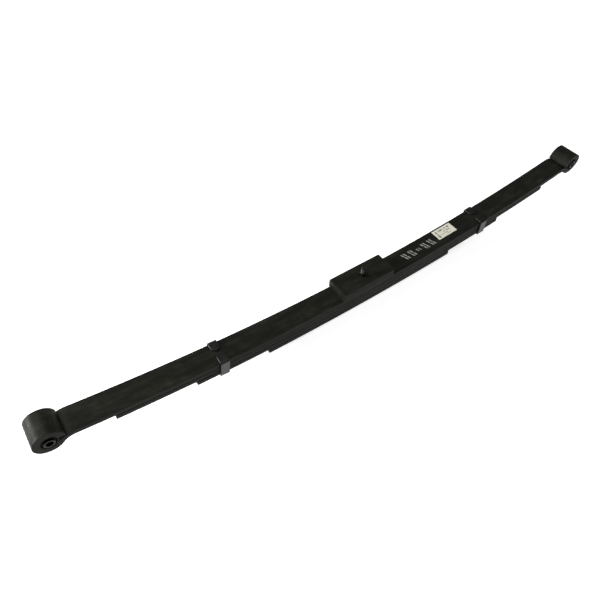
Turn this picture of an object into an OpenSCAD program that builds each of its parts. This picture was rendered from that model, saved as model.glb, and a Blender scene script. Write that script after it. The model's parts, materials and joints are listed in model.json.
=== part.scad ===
// Four-leaf semi-elliptic suspension spring with Berlin eyes, bonded bushes,
// two rebound clips and a pair of seat packers on the centre bolt.
// X runs along the spring, Y across its width and Z up. The origin lies on the
// centre bolt's axis, on the underside of the shortest leaf.

/* [Leaves] */
// Width of the spring steel strip
leaf_w = 50; // [40:1:70]
// Thickness of each leaf
leaf_t = 11; // [8:0.5:12]
// Distance between the two eye centres
eye_span = 1314; // [1260:2:1400]
// Height of the main leaf's arc over half the eye distance, unloaded
camber = 62; // [30:1:90]
// Half length of the second leaf
second_half = 554; // [500:1:565]
// Half length of the third leaf
third_half = 406; // [390:1:450]
// Half length of the fourth leaf
fourth_half = 250; // [180:1:280]
// Gap that opens between two leaves at the tip of the shorter one
tip_gap = 1.5; // [1.2:0.1:3]

/* [Eyes and bushes] */
// Inner diameter of the rolled eye
eye_bore = 30; // [27:1:36]
// Radius of the downward bend before the eye, at mid-thickness
neck_r = 30; // [20:1:40]
// Wall of the bush's outer shell
shell_wall = 1.5; // [1:0.25:2.5]
// Outer diameter of the bush's inner sleeve
sleeve_od = 18; // [16:0.5:20]
// Bore of the bush's inner sleeve
sleeve_id = 12.2; // [10.2:0.5:12.7]
// Length of the bush's inner sleeve
sleeve_len = 54; // [52:1:60]

/* [Seat] */
// Length of each seat packer
packer_len = 135; // [110:1:150]
// Width of each seat packer, a little more than the leaves'
packer_w = 54; // [50:1:58]
// Thickness of each seat packer
packer_t = 10; // [6:0.5:12]
// Diameter of the centre bolt
bolt_d = 10; // [8:1:10]
// Diameter of the centre bolt's dowel head
head_d = 16; // [14:1:20]
// Height of the dowel head under the shortest leaf
head_h = 6; // [4:1:12]
// How far the centre bolt stands above the packers
stud_h = 19; // [14:1:24]
// Width of the nut across its flats
nut_af = 14; // [14:1:17]
// Height of the nut
nut_h = 8; // [6:0.5:9]

/* [Rebound clips] */
// Distance of each clip from the centre bolt
clip_x = 348; // [300:1:370]
// Width of the clip strap
clip_w = 19; // [16:1:26]
// Thickness of the clip strap
clip_t = 3; // [3:0.5:5]
// Gap between the ends of a clip's two folded tabs
clip_gap = 7; // [4:1:14]

/* [Hidden] */
$fn = 96;

STEEL = [0.13, 0.13, 0.12];
LINER = [0.05, 0.05, 0.05];
SLEEVE = [0.42, 0.43, 0.42];
PAPER = [0.9, 0.9, 0.88];

front = -1;                    // side signs along X
rear = 1;
paint = 0.2;                   // clearance between two leaves at the centre bolt
slack = 0.05;                  // radial clearance of a close fit
pitch = leaf_t + paint;
hole_d = bolt_d + 0.4;

// Each leaf is a circular arc. Leaves count from 1, the main leaf, down to 4.
half_span = eye_span / 2;
half_len = [half_span, second_half, third_half, fourth_half];
function crown(k) = (4 - k) * pitch + leaf_t;      // top of leaf k on the bolt axis
main_r = (half_span * half_span + camber * camber) / (2 * camber);
function below(r, half) = 1 / (1 / (r + leaf_t) - 2 * (tip_gap - paint) / (half * half));
r2 = below(main_r, second_half);
r3 = below(r2, third_half);
r4 = below(r3, fourth_half);
top_r = [main_r, r2, r3, r4];
function leaf_r(k) = top_r[k - 1];
function top_z(k, x) = crown(k) + leaf_r(k) - sqrt(leaf_r(k) * leaf_r(k) - x * x);

// Points along an arc about (cx, cz) from angle a to angle b
function arc(cx, cz, r, a, b, n) =
    [for (i = [0:n]) let (t = a + (b - a) * i / n) [cx + r * cos(t), cz + r * sin(t)]];

// A strip bent along leaf k's arc, between two distances from the bolt axis.
// The strip lies from height lo to height hi over the leaf's top surface.
module bent_strip(k, from_x, to_x, lo, hi, y0, y1) {
    r = leaf_r(k);
    a0 = -90 + asin(from_x / r);
    a1 = -90 + asin(to_x / r);
    steps = ceil((to_x - from_x) / 20);
    translate([0, y1, 0]) rotate([90, 0, 0]) linear_extrude(y1 - y0)
        polygon(concat(arc(0, crown(k) + r, r - hi, a0, a1, steps),
            arc(0, crown(k) + r, r - lo, a1, a0, steps)));
}

// Turns its children from the bolt axis out to distance x along leaf 1's arc,
// so that their XY plane lies on the main leaf's top surface there.
module on_main_leaf(x) {
    translate([x, 0, top_z(1, abs(x))]) rotate([0, -asin(x / main_r), 0]) children();
}

// The eye is a Berlin eye: its centre lies on the main leaf's mid-plane. The
// leaf dips through a neck of radius neck_r, then wraps under, out and over.
eye_r = eye_bore / 2;
eye_mid = eye_r + leaf_t / 2;
eye_out = eye_r + leaf_t;
mid_r = main_r + leaf_t / 2;
neck_len = sqrt(eye_mid * eye_mid + 2 * neck_r * eye_mid);
neck_a = atan(neck_r / neck_len);
end_a = asin(half_span / sqrt(mid_r * mid_r + neck_len * neck_len)) - atan(neck_len / mid_r);
arc_cz = crown(1) + main_r;
neck_x = mid_r * sin(end_a);
neck_z = arc_cz - mid_r * cos(end_a);
bend_x = neck_x + neck_r * sin(end_a);
bend_z = neck_z - neck_r * cos(end_a);
eye_x = neck_x + neck_len * cos(end_a);
eye_z = neck_z + neck_len * sin(end_a);
tip_a = 9;                     // angle of the rolled tip over the leaf's mid-plane
bore_skin = 0.6;               // left on the outline for the true bore to cut away
join_a = 1;                    // degrees of the bend left out where it runs into the long arc
tuck_a = 3;                    // degrees of the bend left out where it meets the rolled tip

wrap_start = 180 + neck_a + end_a;
wrap_end = 540 - tip_a + end_a;
half_outline = concat(
    arc(0, arc_cz, main_r, -90, -90 + end_a, 32),
    arc(bend_x, bend_z, neck_r + leaf_t / 2, 90 - join_a + end_a, neck_a + end_a, 10),
    arc(eye_x, eye_z, eye_r - bore_skin, wrap_start, wrap_end, 72),
    arc(eye_x, eye_z, eye_out, wrap_end, wrap_start, 72),
    arc(bend_x, bend_z, neck_r - leaf_t / 2, neck_a + tuck_a + end_a, 90 - join_a + end_a, 10),
    arc(0, arc_cz, main_r + leaf_t, -90 + end_a, -90, 32));
full_outline = concat(half_outline,
    [for (i = [len(half_outline) - 2:-1:1]) [-half_outline[i][0], half_outline[i][1]]]);

module bolt_hole() {
    translate([0, 0, -1]) cylinder(d = hole_d, h = crown(1) + 3 * packer_t);
}

module main_leaf() {
    color(STEEL) difference() {
        translate([0, leaf_w / 2, 0]) rotate([90, 0, 0]) linear_extrude(leaf_w)
            polygon(full_outline);
        for (side = [front, rear])
            translate([side * eye_x, leaf_w / 2 + 1, eye_z]) rotate([90, 0, 0])
                cylinder(r = eye_r, h = leaf_w + 2);
        bolt_hole();
    }
}

module lower_leaf(k) {
    color(STEEL) difference() {
        bent_strip(k, -half_len[k - 1], half_len[k - 1], -leaf_t, 0, -leaf_w / 2, leaf_w / 2);
        bolt_hole();
        if (k == 3) for (side = [front, rear]) rivet_hole(side);
    }
}
module second_leaf() { lower_leaf(2); }
module third_leaf() { lower_leaf(3); }
module fourth_leaf() { lower_leaf(4); }

// Bush: a pressed-in steel shell, bonded rubber with dished ends, and a sleeve
// that turns in the rubber.
shell_or = eye_r - slack;
shell_ir = shell_or - shell_wall;
shell_len = leaf_w - 1;
rubber_ir = sleeve_od / 2 + slack;
rubber_len = leaf_w - 3;
dish = 2.5;

module at_eye(side) {
    translate([side * eye_x, 0, eye_z]) rotate([90, 0, 0]) children();
}
module bush_shell(side) {
    color(STEEL) at_eye(side) difference() {
        cylinder(r = shell_or, h = shell_len, center = true);
        cylinder(r = shell_ir, h = shell_len + 2, center = true);
    }
}
module bush_rubber(side) {
    h = rubber_len / 2;
    mid = (rubber_ir + shell_ir) / 2;
    color(LINER) at_eye(side) rotate_extrude()
        polygon([[rubber_ir, -h], [rubber_ir + 0.8, -h], [mid, -h + dish], [shell_ir, -h + 0.8],
            [shell_ir, h - 0.8], [mid, h - dish], [rubber_ir + 0.8, h], [rubber_ir, h]]);
}
module bush_sleeve(side) {
    color(SLEEVE) at_eye(side) difference() {
        cylinder(d = sleeve_od, h = sleeve_len, center = true);
        cylinder(d = sleeve_id, h = sleeve_len + 2, center = true);
    }
}
module front_bush_shell() { bush_shell(front); }
module rear_bush_shell() { bush_shell(rear); }
module front_bush_rubber() { bush_rubber(front); }
module rear_bush_rubber() { bush_rubber(rear); }
module front_bush_sleeve() { bush_sleeve(front); }
module rear_bush_sleeve() { bush_sleeve(rear); }

// Two flat packers bridge the main leaf's arc and carry the nut.
packer_z = top_z(1, packer_len / 2) + slack;
packer_top = packer_z + 2 * packer_t + slack;

module packer(z) {
    color(STEEL) difference() {
        translate([-packer_len / 2, -packer_w / 2, z]) cube([packer_len, packer_w, packer_t]);
        bolt_hole();
    }
}
module lower_packer() { packer(packer_z); }
module upper_packer() { packer(packer_top - packer_t); }

module centre_bolt() {
    chamfer = 1;
    color(STEEL) union() {
        translate([0, 0, -head_h]) cylinder(d1 = head_d - 2 * chamfer, d2 = head_d, h = chamfer);
        translate([0, 0, chamfer - head_h]) cylinder(d = head_d, h = head_h - chamfer);
        cylinder(d = bolt_d, h = packer_top + stud_h - chamfer);
        translate([0, 0, packer_top + stud_h - chamfer])
            cylinder(d1 = bolt_d, d2 = bolt_d - 2 * chamfer, h = chamfer);
    }
}
module centre_nut() {
    turned = 15;               // how the nut happens to stand, in degrees
    face_d = nut_af + 0.6;     // flat ring left on top
    slope = 0.4;               // radius that the corner chamfer gains per unit down
    color(STEEL) translate([0, 0, packer_top]) difference() {
        intersection() {
            rotate([0, 0, turned]) cylinder(d = nut_af / cos(30), h = nut_h, $fn = 6);
            cylinder(d1 = face_d + 2 * slope * nut_h, d2 = face_d, h = nut_h);
        }
        translate([0, 0, -1]) cylinder(d = bolt_d + 2 * slack, h = nut_h + 2);
    }
}

// Rebound clip: a strap under the third leaf whose two ends fold over the main
// leaf. It is held by one rivet through the third leaf.
clip_low = top_z(1, clip_x) - top_z(3, clip_x) + leaf_t + 0.5;    // strap floor under leaf 1
clip_lift = 0.3;               // clearance of the tabs over the main leaf
clip_side = 0.4;               // clearance of the strap beside the leaves
clip_in = leaf_w / 2 + clip_side;
clip_out = clip_in + clip_t;
rivet_d = 8;

module rounded_rect(y0, z0, y1, z1, r) {
    translate([y0 + r, z0]) square([y1 - y0 - 2 * r, z1 - z0]);
    translate([y0, z0 + r]) square([y1 - y0, z1 - z0 - 2 * r]);
    for (y = [y0 + r, y1 - r], z = [z0 + r, z1 - r]) translate([y, z]) circle(r);
}
module clip(side) {
    top = clip_lift + clip_t;
    tab_y = clip_gap / 2 + clip_w / 2;
    color(STEEL) on_main_leaf(side * clip_x) difference() {
        union() {
            rotate([90, 0, 90]) translate([0, 0, -clip_w / 2]) linear_extrude(clip_w) difference() {
                rounded_rect(-clip_out, -clip_low - clip_t, clip_out, top, clip_t + 1);
                rounded_rect(-clip_in, -clip_low, clip_in, clip_lift, 1);
                translate([-tab_y, clip_lift - 1]) square([2 * tab_y, clip_t + 2]);
            }
            for (s = [-1, 1]) translate([0, s * tab_y, clip_lift]) cylinder(d = clip_w, h = clip_t);
        }
        translate([0, 0, -clip_low - clip_t - 1]) cylinder(d = rivet_d + 0.2, h = clip_t + 2);
    }
}
module front_clip() { clip(front); }
module rear_clip() { clip(rear); }

module rivet_hole(side) {
    on_main_leaf(side * clip_x) translate([0, 0, -clip_low - clip_t])
        cylinder(d = rivet_d + 0.2, h = clip_t + leaf_t + 4);
}
module clip_rivet(side) {
    head_r = 7;
    dome_r = 9;
    dome_h = dome_r - sqrt(dome_r * dome_r - head_r * head_r);
    color(STEEL) on_main_leaf(side * clip_x) translate([0, 0, -clip_low - clip_t - slack]) union() {
        cylinder(d = rivet_d, h = clip_t + leaf_t);
        intersection() {
            translate([0, 0, dome_r - dome_h]) sphere(dome_r);
            translate([0, 0, -dome_h]) cylinder(r = head_r, h = dome_h);
        }
    }
}
module front_clip_rivet() { clip_rivet(front); }
module rear_clip_rivet() { clip_rivet(rear); }

// Liners keep the leaf tips apart. Each lies on leaf k's top surface at its tip.
liner_len = 38;
liner_t = 1;
liner_w = leaf_w - 4;
module tip_liner(side, k) {
    outer = half_len[k - 1] - 2;
    inner = outer - liner_len;
    color(LINER) bent_strip(k, min(side * inner, side * outer), max(side * inner, side * outer),
        slack / 2, liner_t, -liner_w / 2, liner_w / 2);
}
module front_liner_upper() { tip_liner(front, 2); }
module front_liner_middle() { tip_liner(front, 3); }
module front_liner_lower() { tip_liner(front, 4); }
module rear_liner_upper() { tip_liner(rear, 2); }
module rear_liner_middle() { tip_liner(rear, 3); }
module rear_liner_lower() { tip_liner(rear, 4); }

// Paper label on the main leaf, behind the seat
label_x = 226;
label_len = 55;
label_y = -7.5;
label_w = 28;
label_t = 0.2;
module part_label() {
    color(PAPER) bent_strip(1, label_x, label_x + label_len, slack / 2, label_t,
        label_y, label_y + label_w);
}

main_leaf();
second_leaf();
third_leaf();
fourth_leaf();
front_bush_shell();
front_bush_rubber();
front_bush_sleeve();
rear_bush_shell();
rear_bush_rubber();
rear_bush_sleeve();
lower_packer();
upper_packer();
centre_bolt();
centre_nut();
front_clip();
rear_clip();
front_clip_rivet();
rear_clip_rivet();
front_liner_upper();
front_liner_middle();
front_liner_lower();
rear_liner_upper();
rear_liner_middle();
rear_liner_lower();
part_label();
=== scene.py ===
import json
from math import asin, atan, cos, hypot, pi, radians, sin, sqrt

import bmesh
import bpy
from mathutils import Matrix, Vector


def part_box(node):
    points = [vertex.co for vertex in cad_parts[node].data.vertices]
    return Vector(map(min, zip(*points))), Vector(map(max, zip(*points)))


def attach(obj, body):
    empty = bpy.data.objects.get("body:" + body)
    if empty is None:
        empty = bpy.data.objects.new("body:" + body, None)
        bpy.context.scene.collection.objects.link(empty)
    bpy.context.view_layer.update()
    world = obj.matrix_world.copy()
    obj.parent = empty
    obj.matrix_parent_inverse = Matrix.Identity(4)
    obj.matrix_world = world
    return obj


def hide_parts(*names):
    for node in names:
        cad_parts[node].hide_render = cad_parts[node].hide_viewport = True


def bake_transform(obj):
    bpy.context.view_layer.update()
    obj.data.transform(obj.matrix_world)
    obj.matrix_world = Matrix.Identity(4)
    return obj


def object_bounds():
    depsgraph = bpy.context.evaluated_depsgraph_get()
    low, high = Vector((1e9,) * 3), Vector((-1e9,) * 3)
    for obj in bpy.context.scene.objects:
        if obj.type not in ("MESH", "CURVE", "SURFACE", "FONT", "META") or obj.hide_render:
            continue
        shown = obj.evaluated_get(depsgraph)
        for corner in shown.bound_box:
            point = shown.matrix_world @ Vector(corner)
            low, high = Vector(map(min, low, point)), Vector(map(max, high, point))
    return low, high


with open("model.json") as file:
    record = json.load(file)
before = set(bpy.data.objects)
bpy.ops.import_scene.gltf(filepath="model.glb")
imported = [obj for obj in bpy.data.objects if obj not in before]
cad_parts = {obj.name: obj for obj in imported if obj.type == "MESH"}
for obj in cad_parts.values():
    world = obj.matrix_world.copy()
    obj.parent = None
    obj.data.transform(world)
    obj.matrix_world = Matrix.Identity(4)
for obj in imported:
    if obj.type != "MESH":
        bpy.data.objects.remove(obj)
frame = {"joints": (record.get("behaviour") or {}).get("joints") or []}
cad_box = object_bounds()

# Camera. It stands above the near side, a little left of the middle, and looks
# along the spring towards its rear end with an ordinary wide lens.
camera = bpy.data.objects.new("camera", bpy.data.cameras.new("camera"))
camera.location = (-0.5425, -0.4995, 0.8768)
camera.rotation_euler = (radians(38.57), radians(-1.87), radians(-34.92))
camera.data.sensor_width = 36
camera.data.lens = 30.75
camera.data.clip_start = 0.01
bpy.context.collection.objects.link(camera)
bpy.context.scene.camera = camera

# Main leaf: a bar of hot-rolled spring steel, 50 by 11 mm, with rounded edges.
# It is cambered to one arc, and each end dips through a neck and is rolled up
# into an eye whose centre lies on the bar's mid-plane. It is dipped in paint.
joints = {joint["name"]: joint for joint in frame["joints"]}
eye_x, _, eye_z = joints["rear_bush_twist"]["pos_m"]
leaf_low, leaf_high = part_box("main_leaf")
leaf_w = leaf_high.y - leaf_low.y
leaf_t = 0.011
leaf_edge = 0.0011
camber = 0.062
paint_gap = 0.0002
pitch = leaf_t + paint_gap
neck_r = 0.030
eye_bore_r = 0.015
eye_lap_edge = 0.0006
tip_turn = radians(9)
bolt_hole_r = 0.0052
SIDES = {"front": -1, "rear": 1}


def crown(leaf):
    """Height of a leaf's top on the centre bolt. Leaves count down from 1, the main leaf."""
    return (4 - leaf) * pitch + leaf_t


main_r = (eye_x**2 + camber**2) / (2 * camber)
top_radius = {1: main_r}
eye_mid_r = eye_bore_r + leaf_t / 2
main_mid_r = main_r + leaf_t / 2
neck_length = sqrt(eye_mid_r**2 + 2 * neck_r * eye_mid_r)
neck_turn = atan(neck_r / neck_length)
arm_turn = asin(eye_x / hypot(main_mid_r, neck_length)) - atan(neck_length / main_mid_r)
arc_centre_z = crown(1) + main_r
neck_x = main_mid_r * sin(arm_turn)
neck_z = arc_centre_z - main_mid_r * cos(arm_turn)


def top_z(leaf, x):
    """Height of a leaf's top surface at a distance from the centre bolt."""
    return crown(leaf) + top_radius[leaf] - sqrt(top_radius[leaf]**2 - x**2)


def bend(bm, end, centre, angle, steps, axis=(0, -1, 0), move=(0, 0, 0)):
    """Carries a section round a bend, or straight on if the angle is 0, and gives its new end."""
    step = Vector(move) / steps
    bent = bmesh.ops.spin(bm, geom=end, cent=centre, axis=axis, angle=angle,
                          steps=steps, dvec=step, use_duplicate=False)
    return bent["geom_last"]


def strip(leaf, start, stop, low, high, width, edge, steps, middle=0):
    """A bar along a leaf's arc, between two heights over its top, from start to stop."""
    centre = (0, 0, crown(leaf) + top_radius[leaf])
    first = asin(start / top_radius[leaf])
    last = asin(stop / top_radius[leaf])
    bm = bmesh.new()
    bmesh.ops.create_grid(bm, x_segments=1, y_segments=1, size=0.5)
    bmesh.ops.scale(bm, vec=(high - low, width, 1), verts=bm.verts)
    bmesh.ops.rotate(bm, matrix=Matrix.Rotation(pi / 2, 3, "Y"), verts=bm.verts)
    bmesh.ops.translate(bm, vec=(0, middle, crown(leaf) + (low + high) / 2), verts=bm.verts)
    if edge:
        bmesh.ops.bevel(bm, geom=bm.verts, offset=edge, segments=5, profile=0.5,
                        affect="VERTICES", material=-1)
    bmesh.ops.rotate(bm, cent=centre, matrix=Matrix.Rotation(-first, 3, "Y"), verts=bm.verts)
    section = bm.faces[:] + bm.edges[:] + bm.verts[:]
    return bm, bend(bm, section, centre, last - first, steps)


def ease_end(bm, end, offset):
    """Breaks the sharp edge round a cut end."""
    rim = [part for part in end if isinstance(part, bmesh.types.BMEdge)]
    bmesh.ops.bevel(bm, geom=rim, offset=offset, segments=2, profile=0.5,
                    affect="EDGES", material=-1)


def spun(points, steps, centre=(0, 0, 0), axis="Z"):
    """A turned solid from the radius and height of each corner of its outline."""
    bm = bmesh.new()
    corners = [bm.verts.new((r, 0, h)) for r, h in points]
    outline = [bm.edges.new(pair) for pair in zip(corners, corners[1:])]
    bmesh.ops.spin(bm, geom=corners + outline, axis=(0, 0, 1), angle=2 * pi,
                   steps=steps, use_merge=True, use_duplicate=False)
    if axis == "Y":
        bmesh.ops.rotate(bm, matrix=Matrix.Rotation(-pi / 2, 3, "X"), verts=bm.verts)
    bmesh.ops.translate(bm, vec=centre, verts=bm.verts)
    bmesh.ops.remove_doubles(bm, verts=bm.verts, dist=1e-6)
    return bm


def cut(bm, tool, operation="DIFFERENCE"):
    """Drills or trims one solid with another, and gives the result."""
    solids = []
    for name, shape in (("blank", bm), ("tool", tool)):
        bmesh.ops.recalc_face_normals(shape, faces=shape.faces)
        solid = bpy.data.objects.new(name, bpy.data.meshes.new(name))
        shape.to_mesh(solid.data)
        shape.free()
        bpy.context.collection.objects.link(solid)
        solids.append(solid)
    boolean = solids[0].modifiers.new("cut", "BOOLEAN")
    boolean.operation = operation
    boolean.solver = "EXACT"
    boolean.object = solids[1]
    result = bmesh.new()
    result.from_object(solids[0], bpy.context.evaluated_depsgraph_get())
    for solid in solids:
        bpy.data.objects.remove(solid)
    return result


def drill(radius, low, high):
    """The drill for a hole along Z."""
    return spun([(0, low), (radius, low), (radius, high), (0, high)], 48)


def make_piece(bm, name, material):
    """Makes a finished mesh a piece: closed, faces outward, and shaded by its larger faces."""
    bmesh.ops.remove_doubles(bm, verts=bm.verts, dist=1e-6)
    bmesh.ops.recalc_face_normals(bm, faces=bm.faces)
    for face in bm.faces:
        face.smooth = True
    for edge in bm.edges:
        edge.smooth = edge.calc_face_angle(0) < radians(40)
    mesh = bpy.data.meshes.new(name)
    bm.to_mesh(mesh)
    bm.free()
    mesh.materials.append(material)
    piece = bpy.data.objects.new(name, mesh)
    bpy.context.collection.objects.link(piece)
    shading = piece.modifiers.new("shading", "WEIGHTED_NORMAL")
    shading.keep_sharp = True
    return piece


def flex(piece):
    """Bakes the piece's placement into its mesh."""
    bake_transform(piece)


def linear(code):
    """The linear colour of an sRGB hex code."""
    channels = [int(code[i:i + 2], 16) / 255 for i in (0, 2, 4)]
    return [c / 12.92 if c <= 0.04045 else ((c + 0.055) / 1.055)**2.4 for c in channels] + [1]


def add(material, kind, inputs, **settings):
    """Adds a node with its settings. Each input is a value, or the socket that feeds it."""
    node = material.node_tree.nodes.new("ShaderNode" + kind)
    for name, setting in settings.items():
        setattr(node, name, setting)
    for name, value in inputs.items():
        if isinstance(value, bpy.types.NodeSocket):
            material.node_tree.links.new(value, node.inputs[name])
        else:
            node.inputs[name].default_value = value
    return node


def blank_material(name):
    """A material with no nodes yet."""
    material = bpy.data.materials.new(name)
    material.use_nodes = True
    material.node_tree.nodes.clear()
    return material


def painted_steel(name, film, dusty, dullness, shine):
    """Satin black chassis paint over hot-rolled steel. The film shows the bar's rolling
    streaks, pits and its own orange peel, and it is thinner and greyer at the long edges."""
    paint = blank_material(name)
    place = add(paint, "TexCoord", {}).outputs["Object"]
    along = add(paint, "Mapping", {"Vector": place, "Scale": (1, 9, 9)}).outputs["Vector"]
    streaks = add(paint, "TexNoise", {"Vector": along, "Scale": 1 / 0.110, "Detail": 6,
                                      "Roughness": 0.62})
    mottle = add(paint, "TexNoise", {"Vector": place, "Scale": 1 / 0.024, "Detail": 7,
                                     "Roughness": 0.66})
    peel = add(paint, "TexNoise", {"Vector": place, "Scale": 1 / 0.0026, "Detail": 2})
    pits = add(paint, "TexVoronoi", {"Vector": place, "Scale": 1 / 0.009, "Randomness": 1})
    across = add(paint, "SeparateXYZ", {"Vector": place}).outputs["Y"]
    reach = add(paint, "Math", {0: across}, operation="ABSOLUTE").outputs[0]
    rise = add(paint, "MapRange", {"Value": reach, "From Min": leaf_w / 2 - leaf_edge * 1.3,
                                   "From Max": leaf_w / 2 - leaf_edge * 0.4})
    fall = add(paint, "MapRange", {"Value": reach, "From Min": leaf_w / 2 - leaf_edge * 0.4,
                                   "From Max": leaf_w / 2, "To Min": 1, "To Max": 0})
    ridge = add(paint, "Math", {0: rise.outputs[0], 1: fall.outputs[0]}, operation="MULTIPLY")
    worn = add(paint, "Math", {0: ridge.outputs[0], 1: mottle.outputs["Fac"]},
               operation="MULTIPLY")
    blotch = add(paint, "MapRange", {"Value": mottle.outputs["Fac"], "From Min": 0.35,
                                     "From Max": 0.7})
    haze = add(paint, "MapRange", {"Value": streaks.outputs["Fac"], "From Min": 0.4,
                                   "From Max": 0.75})
    share = add(paint, "Math", {0: blotch.outputs[0], 1: haze.outputs[0]}, operation="MULTIPLY")
    colour = add(paint, "MixRGB", {"Fac": share.outputs[0], "Color1": linear(film),
                                   "Color2": linear(dusty)})
    edged = add(paint, "MixRGB", {"Fac": worn.outputs[0], "Color1": colour.outputs[0],
                                  "Color2": linear("34342f")})
    sheen = add(paint, "MapRange", {"Value": mottle.outputs["Fac"], "From Min": 0.3,
                                    "From Max": 0.7, "To Min": dullness - 0.06,
                                    "To Max": dullness + 0.09})
    low_spots = add(paint, "Bump", {"Height": pits.outputs["Distance"], "Strength": 0.25,
                                    "Distance": 0.0004})
    waves = add(paint, "Bump", {"Height": streaks.outputs["Fac"], "Strength": 0.35,
                                "Distance": 0.0012, "Normal": low_spots.outputs[0]})
    skin = add(paint, "Bump", {"Height": peel.outputs["Fac"], "Strength": 0.22,
                               "Distance": 0.0003, "Normal": waves.outputs[0]})
    shader = add(paint, "BsdfPrincipled", {"Base Color": edged.outputs[0], "IOR": 1.5,
                                           "Specular IOR Level": shine,
                                           "Roughness": sheen.outputs[0],
                                           "Normal": skin.outputs[0]})
    add(paint, "OutputMaterial", {"Surface": shader.outputs[0]})
    return paint


leaf_paint = painted_steel("satin_black_paint_on_spring_steel", "191916", "33332b", 0.46, 0.04)

for side, sign in SIDES.items():
    bm, end = strip(1, 0, main_r * sin(arm_turn), -leaf_t, 0, leaf_w, leaf_edge, 62)
    neck_centre = (neck_x + neck_r * sin(arm_turn), 0, neck_z - neck_r * cos(arm_turn))
    end = bend(bm, end, neck_centre, neck_turn - pi / 2, 14)
    end = bend(bm, end, (eye_x, 0, eye_z), 2 * pi - tip_turn - neck_turn, 90)
    ease_end(bm, end, eye_lap_edge)
    bm = cut(bm, drill(bolt_hole_r, crown(1) - 2 * leaf_t, crown(1) + leaf_t))
    bmesh.ops.scale(bm, vec=(sign, 1, 1), verts=bm.verts)
    piece = make_piece(bm, "main_leaf_" + side, leaf_paint)
    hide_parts("main_leaf")
    flex(piece)

# Lower leaves: three shorter bars of the same steel, sheared square and bent to
# flatter arcs, so that each tip presses on the leaf above when they are bolted. The
# third is drilled for the rivets that hold the rebound clips.
tip_gap = 0.0015
half_length = {2: 0.554, 3: 0.406, 4: 0.250}
leaf_name = {2: "second_leaf", 3: "third_leaf", 4: "fourth_leaf"}
sheared_edge = 0.0008
clip_x = 0.348
rivet_r = 0.004
rivet_hole_r = rivet_r + 0.0001
rivet_axis = (Matrix.Translation((clip_x, 0, top_z(1, clip_x)))
              @ Matrix.Rotation(-asin(clip_x / main_r), 4, "Y"))
for leaf, half in half_length.items():
    above_r = top_radius[leaf - 1] + leaf_t
    top_radius[leaf] = 1 / (1 / above_r - 2 * (tip_gap - paint_gap) / half**2)
    for side, sign in SIDES.items():
        bm, end = strip(leaf, 0, half, -leaf_t, 0, leaf_w, leaf_edge, round(half / 0.01))
        ease_end(bm, end, sheared_edge)
        bm = cut(bm, drill(bolt_hole_r, crown(leaf) - 2 * leaf_t, crown(leaf) + leaf_t))
        if leaf == 3:
            hole = drill(rivet_hole_r, -5 * leaf_t, 0)
            bmesh.ops.transform(hole, matrix=rivet_axis, verts=hole.verts)
            bm = cut(bm, hole)
        bmesh.ops.scale(bm, vec=(sign, 1, 1), verts=bm.verts)
        piece = make_piece(bm, leaf_name[leaf] + "_" + side, leaf_paint)
        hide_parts(leaf_name[leaf])
        flex(piece)

# Tip liners: 1 mm thick strips of black moulded polyethylene between the leaves, one
# on each lower leaf's tip, so that steel doesn't squeak on steel. A fine moulded
# grain keeps them dull.
liner_length = 0.038
liner_t = 0.001
liner_inset = 0.002
liner_clearance = 0.00005
liner_edge = 0.0003
liner_grain = blank_material("moulded_polyethylene")
place = add(liner_grain, "TexCoord", {}).outputs["Object"]
grain = add(liner_grain, "TexNoise", {"Vector": place, "Scale": 1 / 0.0012, "Detail": 3})
tone = add(liner_grain, "MixRGB", {"Fac": grain.outputs["Fac"], "Color1": linear("0c0c0c"),
                                   "Color2": linear("191918")})
dull = add(liner_grain, "MapRange", {"Value": grain.outputs["Fac"], "To Min": 0.55,
                                     "To Max": 0.75})
relief = add(liner_grain, "Bump", {"Height": grain.outputs["Fac"], "Strength": 0.3,
                                   "Distance": 0.0002})
shader = add(liner_grain, "BsdfPrincipled", {"Base Color": tone.outputs[0], "IOR": 1.5,
                                             "Roughness": dull.outputs[0],
                                             "Normal": relief.outputs[0]})
add(liner_grain, "OutputMaterial", {"Surface": shader.outputs[0]})

for leaf, place_name in {2: "upper", 3: "middle", 4: "lower"}.items():
    outer = half_length[leaf] - liner_inset
    for side, sign in SIDES.items():
        bm, _ = strip(leaf, outer - liner_length, outer, liner_clearance, liner_t,
                      leaf_w - 2 * liner_inset, liner_edge, 8)
        bmesh.ops.scale(bm, vec=(sign, 1, 1), verts=bm.verts)
        node = f"{side}_liner_{place_name}"
        piece = make_piece(bm, node + "_strip", liner_grain)
        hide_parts(node)
        flex(piece)

# Eye bushes. Each has a steel shell pressed into the eye, a rubber ring bonded
# to it with dished ends, and a turned steel sleeve that the hanger bolt clamps.
shell_r, shell_wall = 0.01495, 0.0015
sleeve_r, sleeve_bore_r = 0.009, 0.0061
rubber_dish = 0.0025
shell_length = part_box("rear_bush_shell")[1].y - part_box("rear_bush_shell")[0].y
rubber_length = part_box("rear_bush_rubber")[1].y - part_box("rear_bush_rubber")[0].y
sleeve_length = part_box("rear_bush_sleeve")[1].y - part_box("rear_bush_sleeve")[0].y

shell_paint = painted_steel("black_paint_on_drawn_tube", "0c0c0b", "161613", 0.5, 0.06)

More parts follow.
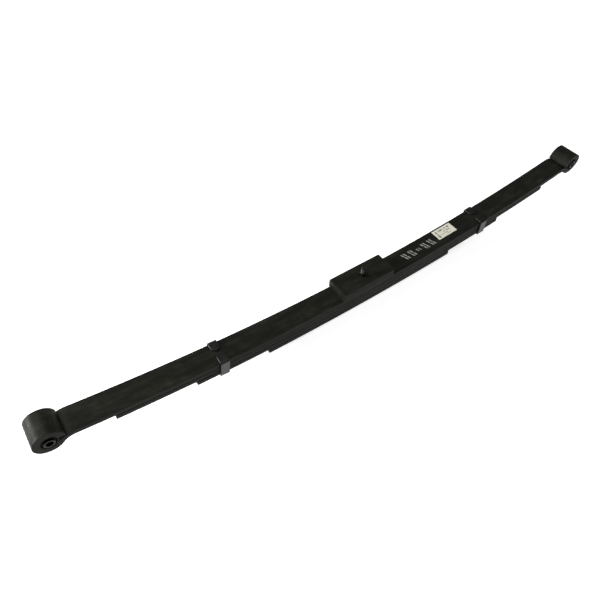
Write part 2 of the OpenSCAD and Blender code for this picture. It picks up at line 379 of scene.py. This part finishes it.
rubber = blank_material("moulded_natural_rubber")
place = add(rubber, "TexCoord", {}).outputs["Object"]
bloom = add(rubber, "TexNoise", {"Vector": place, "Scale": 1 / 0.006, "Detail": 5})
pores = add(rubber, "TexNoise", {"Vector": place, "Scale": 1 / 0.0008, "Detail": 2})
tone = add(rubber, "MixRGB", {"Fac": bloom.outputs["Fac"], "Color1": linear("080808"),
                              "Color2": linear("161615")})
dull = add(rubber, "MapRange", {"Value": bloom.outputs["Fac"], "To Min": 0.5, "To Max": 0.8})
relief = add(rubber, "Bump", {"Height": pores.outputs["Fac"], "Strength": 0.25,
                              "Distance": 0.0002})
shader = add(rubber, "BsdfPrincipled", {"Base Color": tone.outputs[0], "IOR": 1.52,
                                        "Specular IOR Level": 0.1,
                                        "Roughness": dull.outputs[0],
                                        "Normal": relief.outputs[0]})
add(rubber, "OutputMaterial", {"Surface": shader.outputs[0]})

# The sleeve is cut from cold-drawn tube and dulled by a phosphate bath. Faint
# turning rings round its axis catch the light.
turned = blank_material("phosphated_turned_steel")
place = add(turned, "TexCoord", {}).outputs["Object"]
lengthways = add(turned, "Mapping", {"Vector": place, "Scale": (0.02, 1, 0.02)})
rings = add(turned, "TexNoise", {"Vector": lengthways.outputs[0], "Scale": 1 / 0.0006,
                                 "Detail": 3})
stain = add(turned, "TexNoise", {"Vector": place, "Scale": 1 / 0.005, "Detail": 5})
tone = add(turned, "MixRGB", {"Fac": stain.outputs["Fac"], "Color1": linear("121211"),
                              "Color2": linear("34332f")})
dull = add(turned, "MapRange", {"Value": stain.outputs["Fac"], "To Min": 0.3, "To Max": 0.5})
relief = add(turned, "Bump", {"Height": rings.outputs["Fac"], "Strength": 0.3,
                              "Distance": 0.0001})
shader = add(turned, "BsdfPrincipled", {"Base Color": tone.outputs[0], "Metallic": 1,
                                        "Roughness": dull.outputs[0],
                                        "Normal": relief.outputs[0]})
add(turned, "OutputMaterial", {"Surface": shader.outputs[0]})


def tube(outer, inner, length, chamfer):
    """The closed outline of a tube with chamfered ends, as radius and height."""
    half = length / 2
    return [(inner, chamfer - half), (inner + chamfer, -half), (outer - chamfer, -half),
            (outer, chamfer - half), (outer, half - chamfer), (outer - chamfer, half),
            (inner + chamfer, half), (inner, half - chamfer), (inner, chamfer - half)]


def dished_ring(outer, inner, length, dish, steps):
    """The closed outline of a rubber ring whose ends sink between its two bonds."""
    half = length / 2
    rim = [(inner + (outer - inner) * i / steps, half - dish * sin(pi * i / steps))
           for i in range(steps + 1)]
    return rim + [(r, -h) for r, h in reversed(rim)] + [rim[0]]


for side, sign in SIDES.items():
    centre = (sign * eye_x, 0, eye_z)
    bm = spun(tube(shell_r, shell_r - shell_wall, shell_length, 0.0003), 96, centre, "Y")
    piece = make_piece(bm, side + "_shell_tube", shell_paint)
    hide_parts(side + "_bush_shell")
    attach(piece, side + "_eye")

    outline = dished_ring(shell_r - shell_wall, sleeve_r + 0.00005, rubber_length,
                          rubber_dish, 12)
    piece = make_piece(spun(outline, 96, centre, "Y"), side + "_rubber_ring", rubber)
    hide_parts(side + "_bush_rubber")
    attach(piece, side + "_eye")

    bm = spun(tube(sleeve_r, sleeve_bore_r, sleeve_length, 0.0005), 96, centre, "Y")
    piece = make_piece(bm, side + "_sleeve_tube", turned)
    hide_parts(side + "_bush_sleeve")
    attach(piece, side + "_sleeve")

# Seat packers: two flat plates on top of the main leaf, sawn from the same bar
# stock and drilled for the centre bolt. Their edges are only lightly broken.
packer_edge = 0.0007
for node in ("lower_packer", "upper_packer"):
    low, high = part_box(node)
    bm = bmesh.new()
    bmesh.ops.create_cube(bm, size=1)
    bmesh.ops.scale(bm, vec=high - low, verts=bm.verts)
    bmesh.ops.translate(bm, vec=(low + high) / 2, verts=bm.verts)
    bmesh.ops.bevel(bm, geom=bm.edges, offset=packer_edge, segments=4, profile=0.5,
                    affect="EDGES", material=-1)
    bm = cut(bm, drill(bolt_hole_r, low.z - leaf_t, high.z + leaf_t))
    piece = make_piece(bm, node + "_plate", leaf_paint)
    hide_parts(node)
    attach(piece, "spring_pack")

# Centre bolt: an M10 bolt with a round dowel head below, which finds the hole
# in the axle's seat. It is rolled to a 1.5 mm thread at the top, and painted.
bolt_r = 0.005
thread_root_r = 0.0042
thread_pitch = 0.0015
head_r = 0.008
bolt_low, bolt_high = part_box("centre_bolt")
packer_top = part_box("upper_packer")[1].z
thread_z = packer_top - 0.004
thread_turns = int((bolt_high.z - thread_z) / thread_pitch) - 1
bolt_paint = painted_steel("black_paint_on_bolt_steel", "0e0e0d", "20201d", 0.24, 0.5)

bm = spun([(0, bolt_low.z), (head_r - 0.001, bolt_low.z), (head_r, bolt_low.z + 0.001),
           (head_r, -0.0004), (head_r - 0.0004, 0), (bolt_r, 0), (bolt_r, thread_z),
           (thread_root_r, thread_z + 0.0008), (thread_root_r, bolt_high.z - 0.0006),
           (thread_root_r - 0.0006, bolt_high.z), (0, bolt_high.z)], 64)
ridge = [bm.verts.new((thread_root_r - 0.0002, 0, thread_z)),
         bm.verts.new((bolt_r, 0, thread_z + thread_pitch * 0.42)),
         bm.verts.new((bolt_r, 0, thread_z + thread_pitch * 0.52)),
         bm.verts.new((thread_root_r - 0.0002, 0, thread_z + thread_pitch * 0.94))]
section = bm.faces.new(ridge)
turn_steps = 36
bend(bm, [section, *section.edges, *section.verts], (0, 0, 0), 2 * pi * thread_turns,
     turn_steps * thread_turns, axis=(0, 0, 1), move=(0, 0, thread_pitch * thread_turns))
piece = make_piece(bm, "centre_bolt_turned", bolt_paint)
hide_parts("centre_bolt")
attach(piece, "spring_pack")

# Centre nut: a small-series hexagon, forged, chamfered at the top and tapped.
nut_flats = 0.014
nut_turn = radians(15)
nut_low, nut_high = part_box("centre_nut")
nut_height = nut_high.z - nut_low.z
bm = bmesh.new()
bmesh.ops.create_cone(bm, cap_ends=True, segments=6, radius1=nut_flats / sqrt(3),
                      radius2=nut_flats / sqrt(3), depth=nut_height)
bmesh.ops.rotate(bm, matrix=Matrix.Rotation(nut_turn, 3, "Z"), verts=bm.verts)
bmesh.ops.translate(bm, vec=(0, 0, nut_low.z + nut_height / 2), verts=bm.verts)
face_r = nut_flats / 2 + 0.0003
cone_r = face_r + 0.4 * nut_height
bm = cut(bm, spun([(0, nut_low.z - 0.001), (cone_r, nut_low.z - 0.001), (cone_r, nut_low.z),
                   (face_r, nut_high.z), (0, nut_high.z)], 96), "INTERSECT")
bm = cut(bm, drill(bolt_r + 0.00005, nut_low.z - 0.001, nut_high.z + 0.001))
sharp = [edge for edge in bm.edges if edge.calc_face_angle(0) > radians(50)]
bmesh.ops.bevel(bm, geom=sharp, offset=0.0003, segments=2, profile=0.5,
                affect="EDGES", material=-1)
piece = make_piece(bm, "centre_nut_forged", bolt_paint)
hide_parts("centre_nut")
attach(piece, "spring_pack")

# Rebound clips: a 19 by 3 mm steel strap that passes under the third leaf, up
# both sides and over the main leaf, where its two round-ended tabs are hammered
# flat. A dome-headed rivet fixes it to the third leaf from below.
clip_w, clip_t = 0.019, 0.003
clip_gap = 0.007
clip_lift = 0.0003
clip_edge = 0.0008
clip_in = leaf_w / 2 + 0.0004
clip_low = top_z(1, clip_x) - top_z(3, clip_x) + leaf_t + 0.0005
bend_r = clip_t / 2 + 0.001
bend_y = clip_in - 0.001
tab_y = clip_gap / 2 + clip_w / 2
rivet_head_r, dome_r = 0.007, 0.009
clip_paint = painted_steel("black_paint_on_strap_steel", "090908", "171714", 0.32, 0.42)

for side, sign in SIDES.items():
    seat = (Matrix.Translation((sign * clip_x, 0, top_z(1, clip_x)))
            @ Matrix.Rotation(-asin(sign * clip_x / main_r), 4, "Y"))
    bm = bmesh.new()
    bmesh.ops.create_grid(bm, x_segments=1, y_segments=1, size=0.5)
    bmesh.ops.scale(bm, vec=(clip_w, clip_t, 1), verts=bm.verts)
    bmesh.ops.rotate(bm, matrix=Matrix.Rotation(pi / 2, 3, "X"), verts=bm.verts)
    bmesh.ops.translate(bm, vec=(0, 0, -clip_low - clip_t / 2), verts=bm.verts)
    bmesh.ops.bevel(bm, geom=bm.verts, offset=clip_edge, segments=4, profile=0.5,
                    affect="VERTICES", material=-1)
    end = bm.faces[:] + bm.edges[:] + bm.verts[:]
    over = {"axis": (1, 0, 0)}
    end = bend(bm, end, (0, 0, 0), 0, 6, move=(0, bend_y, 0), **over)
    end = bend(bm, end, (0, bend_y, bend_r - clip_low - clip_t / 2), pi / 2, 8, **over)
    end = bend(bm, end, (0, 0, 0), 0, 6, move=(0, 0, clip_low + clip_lift - 0.002), **over)
    end = bend(bm, end, (0, bend_y, clip_lift - 0.001), pi / 2, 8, **over)
    end = bend(bm, end, (0, 0, 0), 0, 3, move=(0, tab_y - bend_y, 0), **over)
    turned_so_far = 0
    for turn in (15, 30, 45, 58, 70, 80, 86):
        move = (0, clip_w / 2 * (sin(radians(turned_so_far)) - sin(radians(turn))), 0)
        end = bend(bm, end, (0, 0, 0), 0, 1, move=move, **over)
        narrowing = cos(radians(turn)) / cos(radians(turned_so_far))
        tips = [part for part in end if isinstance(part, bmesh.types.BMVert)]
        bmesh.ops.scale(bm, vec=(narrowing, 1, 1), verts=tips)
        turned_so_far = turn
    inner = [face for face in bm.faces if all(abs(v.co.y) < 1e-6 for v in face.verts)]
    bmesh.ops.delete(bm, geom=inner, context="FACES_ONLY")
    bmesh.ops.mirror(bm, geom=bm.verts[:] + bm.edges[:] + bm.faces[:], axis="Y",
                     merge_dist=1e-6)
    bm = cut(bm, drill(rivet_hole_r, -clip_low - 2 * clip_t, -clip_low + clip_t))
    bmesh.ops.transform(bm, matrix=seat, verts=bm.verts)
    piece = make_piece(bm, side + "_clip_strap", clip_paint)
    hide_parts(side + "_clip")
    flex(piece)

    under = -clip_low - clip_t - 0.00005
    dome_steps = 8
    dome_turn = asin(rivet_head_r / dome_r)
    dome_centre = under + dome_r * cos(dome_turn)
    dome = [(dome_r * sin(dome_turn * i / dome_steps),
             dome_centre - dome_r * cos(dome_turn * i / dome_steps))
            for i in range(dome_steps + 1)]
    shank_top = under + clip_t + leaf_t
    bm = spun(dome + [(rivet_head_r, under), (rivet_r, under), (rivet_r, shank_top),
                      (0, shank_top)], 48)
    bmesh.ops.transform(bm, matrix=seat, verts=bm.verts)
    piece = make_piece(bm, side + "_rivet_dome", clip_paint)
    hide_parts(side + "_clip_rivet")
    flex(piece)

# Part label: a white self-adhesive paper label on the rear arm. Its print is a
# plain block of bars and some rows of grey dashes that spell nothing.
label_low, label_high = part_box("part_label")
label_w = label_high.y - label_low.y
label_length = label_high.x - label_low.x
paper = blank_material("printed_paper_label")
print_at = add(paper, "UVMap", {}, uv_map="print").outputs["UV"]
spread = add(paper, "SeparateXYZ", {"Vector": print_at})


def between(value, low, high):
    """1 where a value lies between two limits, else 0."""
    above = add(paper, "Math", {0: value, 1: low}, operation="GREATER_THAN").outputs[0]
    below = add(paper, "Math", {0: value, 1: high}, operation="LESS_THAN").outputs[0]
    return add(paper, "Math", {0: above, 1: below}, operation="MULTIPLY").outputs[0]


def print_row(left, right, bottom, top, dash, lengthways):
    """A printed row between four edges, in shares of the label, broken into uneven dashes."""
    run = spread.outputs["X" if lengthways else "Y"]
    cells = add(paper, "Math", {0: run, 1: dash}, operation="DIVIDE").outputs[0]
    whole = add(paper, "Math", {0: cells}, operation="FLOOR").outputs[0]
    chance = add(paper, "TexWhiteNoise", {"W": whole}, noise_dimensions="1D")
    inked = add(paper, "Math", {0: chance.outputs["Value"], 1: 0.34}, operation="GREATER_THAN")
    area = add(paper, "Math", {0: between(spread.outputs["X"], left, right),
                               1: between(spread.outputs["Y"], bottom, top)},
               operation="MULTIPLY")
    return add(paper, "Math", {0: area.outputs[0], 1: inked.outputs[0]},
               operation="MULTIPLY").outputs[0]


ink = print_row(0.09, 0.19, 0.12, 0.88, 0.022, False)
for row in ((0.27, 0.88, 0.68, 0.84, 0.026, True), (0.42, 0.86, 0.46, 0.56, 0.021, True),
            (0.27, 0.62, 0.28, 0.36, 0.017, True), (0.50, 0.80, 0.14, 0.20, 0.019, True)):
    ink = add(paper, "Math", {0: ink, 1: print_row(*row)}, operation="MAXIMUM").outputs[0]
place = add(paper, "TexCoord", {}).outputs["Object"]
fibre = add(paper, "TexNoise", {"Vector": place, "Scale": 1 / 0.0015, "Detail": 4})
sheet_tone = add(paper, "MixRGB", {"Fac": fibre.outputs["Fac"], "Color1": linear("dcdaca"),
                                   "Color2": linear("cfccba")})
faded = add(paper, "Math", {0: ink, 1: 0.8}, operation="MULTIPLY")
tone = add(paper, "MixRGB", {"Fac": faded.outputs[0], "Color1": sheet_tone.outputs[0],
                             "Color2": linear("55544e")})
relief = add(paper, "Bump", {"Height": fibre.outputs["Fac"], "Strength": 0.1,
                             "Distance": 0.0001})
shader = add(paper, "BsdfPrincipled", {"Base Color": tone.outputs[0], "Roughness": 0.55,
                                       "IOR": 1.45, "Normal": relief.outputs[0]})
add(paper, "OutputMaterial", {"Surface": shader.outputs[0]})

bm, _ = strip(1, label_low.x, label_high.x, 0.00004, 0.0002, label_w, 0, 12,
                (label_low.y + label_high.y) / 2)
sheet_uv = bm.loops.layers.uv.new("print")
for face in bm.faces:
    for loop in face.loops:
        loop[sheet_uv].uv = ((loop.vert.co.x - label_low.x) / label_length,
                             (loop.vert.co.y - label_low.y) / label_w)
piece = make_piece(bm, "part_label_sheet", paper)
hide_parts("part_label")
flex(piece)

# Stencilled marks: five pairs of slanted strokes of light grey stencil paint beside
# the label, each stroke broken by a stencil bridge. They only mark the rear arm.
mark_x, mark_y = 0.128, -0.001
mark_pitch = 0.0195
mark_height, mark_width = 0.020, 0.0032
stroke_gap = 0.0068
mark_slant = 0.35
mark_film = 0.00008
stencil = blank_material("worn_stencil_paint")
place = add(stencil, "TexCoord", {}).outputs["Object"]
rub = add(stencil, "TexNoise", {"Vector": place, "Scale": 1 / 0.003, "Detail": 5,
                                "Roughness": 0.7})
thin = add(stencil, "MapRange", {"Value": rub.outputs["Fac"], "From Min": 0.42,
                                 "From Max": 0.62})
tone = add(stencil, "MixRGB", {"Fac": thin.outputs[0], "Color1": linear("a8a8a4"),
                               "Color2": linear("5a5a56")})
shader = add(stencil, "BsdfPrincipled", {"Base Color": tone.outputs[0], "Roughness": 0.6})
add(stencil, "OutputMaterial", {"Surface": shader.outputs[0]})

bm = bmesh.new()
for i in range(5):
    for pair, half in ((-1, -1), (-1, 1), (1, -1), (1, 1)):
        height = mark_height * (0.14 if i == 2 else 0.42)
        stroke = bmesh.ops.create_grid(bm, x_segments=2, y_segments=4, size=0.5)["verts"]
        bmesh.ops.scale(bm, vec=(mark_width, height, 1), verts=stroke)
        bmesh.ops.translate(bm, vec=(0, half * (height / 2 + 0.0009), 0), verts=stroke)
        for vert in stroke:
            lean = mark_slant * vert.co.y
            vert.co.x += mark_x + i * mark_pitch + pair * stroke_gap / 2 - lean
            vert.co.y += mark_y
for vert in bm.verts:
    vert.co.z = top_z(1, vert.co.x) + 0.00003
top = bmesh.ops.extrude_face_region(bm, geom=bm.faces[:])["geom"]
bmesh.ops.translate(bm, vec=(0, 0, mark_film),
                    verts=[part for part in top if isinstance(part, bmesh.types.BMVert)])
piece = make_piece(bm, "stencil_marks", stencil)
flex(piece)

# Studio: a plain white floor under the dowel head, a dim surround, a broad soft
# light overhead, a soft light behind each arm and a low one beyond the front eye.
# None of it is part of the spring.
floor_mesh = bmesh.new()
bmesh.ops.create_grid(floor_mesh, x_segments=1, y_segments=1, size=30)
bmesh.ops.translate(floor_mesh, vec=(0, 0, cad_box[0].z), verts=floor_mesh.verts)
floor = bpy.data.objects.new("floor", bpy.data.meshes.new("floor"))
floor_mesh.to_mesh(floor.data)
floor_mesh.free()
bpy.context.collection.objects.link(floor)
white = blank_material("white_studio_floor")
shader = add(white, "BsdfPrincipled", {"Base Color": linear("d8d8d8"), "Roughness": 0.9,
                                       "Emission Color": linear("ffffff"),
                                       "Emission Strength": 0.78})
add(white, "OutputMaterial", {"Surface": shader.outputs[0]})
floor.data.materials.append(white)

world = bpy.data.worlds.new("studio")
world.use_nodes = True
world.node_tree.nodes["Background"].inputs["Color"].default_value = linear("e8ecf0")
world.node_tree.nodes["Background"].inputs["Strength"].default_value = 0.12
bpy.context.scene.world = world
bpy.context.scene.view_settings.view_transform = "Standard"


def softbox(name, position, target, width, height, watts):
    """A soft light that faces a point."""
    lamp = bpy.data.objects.new(name, bpy.data.lights.new(name, "AREA"))
    lamp.data.shape = "RECTANGLE"
    lamp.data.size = width
    lamp.data.size_y = height
    lamp.data.energy = watts
    lamp.location = position
    aim = Vector(target) - Vector(position)
    lamp.rotation_euler = aim.to_track_quat("-Z", "Y").to_euler()
    lamp.visible_camera = False
    bpy.context.collection.objects.link(lamp)


softbox("key", (-0.2, -0.9, 3.4), (0, 0, 0), 2.6, 2.0, 32)
softbox("left_fill", (-0.85, 1.0, 1.6), (-0.5, 0, 0), 1.0, 0.8, 26)
softbox("right_fill", (1.95, 0.6, 1.0), (0.45, 0, 0.1), 0.9, 0.7, 1.5)
softbox("rim", (-1.95, 0.95, 0.55), (-0.657, 0, 0.1), 0.7, 0.5, 60)
